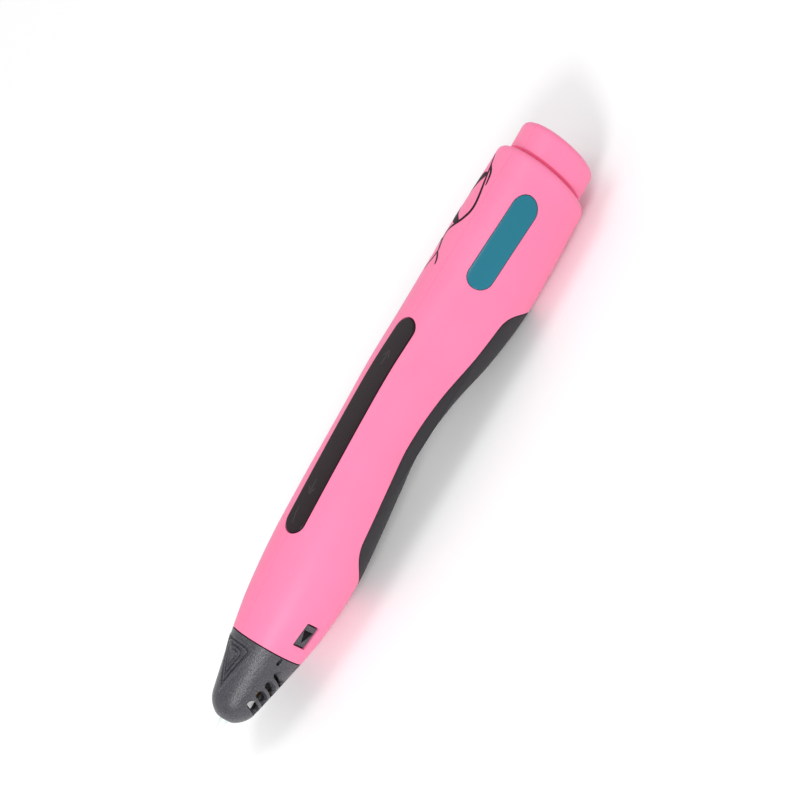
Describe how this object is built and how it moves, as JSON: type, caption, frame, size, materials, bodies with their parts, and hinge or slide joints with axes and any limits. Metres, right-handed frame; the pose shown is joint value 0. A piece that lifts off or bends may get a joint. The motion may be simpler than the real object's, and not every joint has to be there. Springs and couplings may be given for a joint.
{
  "type": "three d pen",
  "caption": "Hand-held extruding pen with a waisted body, soft grip, rocker feed key, display, geared filament feeder and a nose module that pulls off.",
  "frame": {"origin": "centre of the pen's length and width, at the lowest line of its belly", "axes": "+X from the nozzle to the tail along the filament line, +Z towards the back with the feed key, +Y to the right side"},
  "size_m": [0.1795, 0.0296, 0.0313],
  "materials": {
    "shell": "satin",
    "grip": "matte",
    "steel": "satin",
    "key": "satin",
    "frame": "matte",
    "silicone": "matte",
    "board": "satin",
    "chip": "matte",
    "lens": "satin",
    "display": "gloss",
    "ptfe": "satin",
    "brass": "satin",
    "lead_red": "matte",
    "lead_black": "matte",
    "lead_orange": "matte",
    "nose": "satin",
    "ceramic": "satin",
    "kapton": "satin",
    "holder": "matte"
  },
  "bodies": {
    "handle": {"left_shell": "shell", "right_shell": "shell", "grip_cover": "grip", "case_screws": "steel", "key_pin": "steel", "key_carrier": "frame", "feed_dome": "silicone", "retract_dome": "silicone", "main_board": "board", "board_parts": "chip", "display_lens": "lens", "display_glass": "display", "display_board": "board", "contact_socket": "frame", "feed_tube": "ptfe", "feeder_block": "frame", "idler_pivot_pin": "steel", "idler_spring": "steel", "motor_bracket": "steel", "bracket_screws": "steel", "gearbox": "brass", "motor_can": "steel", "motor_cap": "chip", "rear_tube": "ptfe", "inlet_bush": "brass", "tail_plate": "nose", "power_jack": "chip", "jack_pin": "brass", "left_release_spring": "steel", "right_release_spring": "steel", "motor_leads": "lead_red", "power_leads": "lead_black", "nose_leads": "lead_red", "display_leads": "lead_orange"},
    "nose": {"nose_cover": "nose", "nozzle": "ceramic", "heater_core": "ceramic", "heat_wrap": "kapton", "heat_break": "steel", "nose_frame": "holder", "heater_leads": "lead_red", "thermistor": "lead_black", "contact_board": "board", "contact_pins": "brass"},
    "left_release": {"left_release_button": "nose"},
    "right_release": {"right_release_button": "nose"},
    "key": {"feed_key": "key"},
    "motor_output": {"output_shaft": "steel", "bevel_pinion": "brass"},
    "drive": {"drive_shaft": "steel", "bevel_gear": "brass", "drive_roller": "steel"},
    "idler_arm": {"idler_lever": "frame", "idler_axle": "steel"},
    "idler_wheel": {"idler_bearing": "steel"}
  },
  "joints": [
    {"name": "nose_pull", "type": "slide", "parent": "handle", "child": "nose", "axis": [-1, 0, 0], "range_m": [0, 0.03]},
    {"name": "left_release_press", "type": "slide", "parent": "handle", "child": "left_release", "axis": [0, 1, 0], "range_m": [0, 0.0008], "stiffness_N_per_m": 2000, "deforming": ["left_release_spring"]},
    {"name": "right_release_press", "type": "slide", "parent": "handle", "child": "right_release", "axis": [0, -1, 0], "range_m": [0, 0.0008], "stiffness_N_per_m": 2000, "deforming": ["right_release_spring"]},
    {"name": "key_rock", "type": "hinge", "parent": "handle", "child": "key", "pos_m": [-0.0029, 0, 0.02651], "axis": [0, 1, 0], "range_deg": [-0.8, 0.8], "stiffness_Nm_per_rad": 3, "deforming": ["feed_dome", "retract_dome"]},
    {"name": "motor_spin", "type": "hinge", "parent": "handle", "child": "motor_output", "pos_m": [0.028, -0.0039, 0.00921], "axis": [1, 0, 0], "continuous": true},
    {"name": "drive_spin", "type": "hinge", "parent": "handle", "child": "drive", "pos_m": [0.028, -0.0039, 0.01621], "axis": [0, 0, 1], "continuous": true},
    {"name": "idler_swing", "type": "hinge", "parent": "handle", "child": "idler_arm", "pos_m": [0.0212, 0.0059, 0.01871], "axis": [0, 0, 1], "range_deg": [0, 6], "stiffness_Nm_per_rad": 0.2},
    {"name": "idler_spin", "type": "hinge", "parent": "idler_arm", "child": "idler_wheel", "pos_m": [0.028, 0.00345, 0.01621], "axis": [0, 0, 1], "continuous": true}
  ],
  "couplings": [
    {"joint": "motor_spin", "follows": "drive_spin", "ratio": -1}
  ]
}
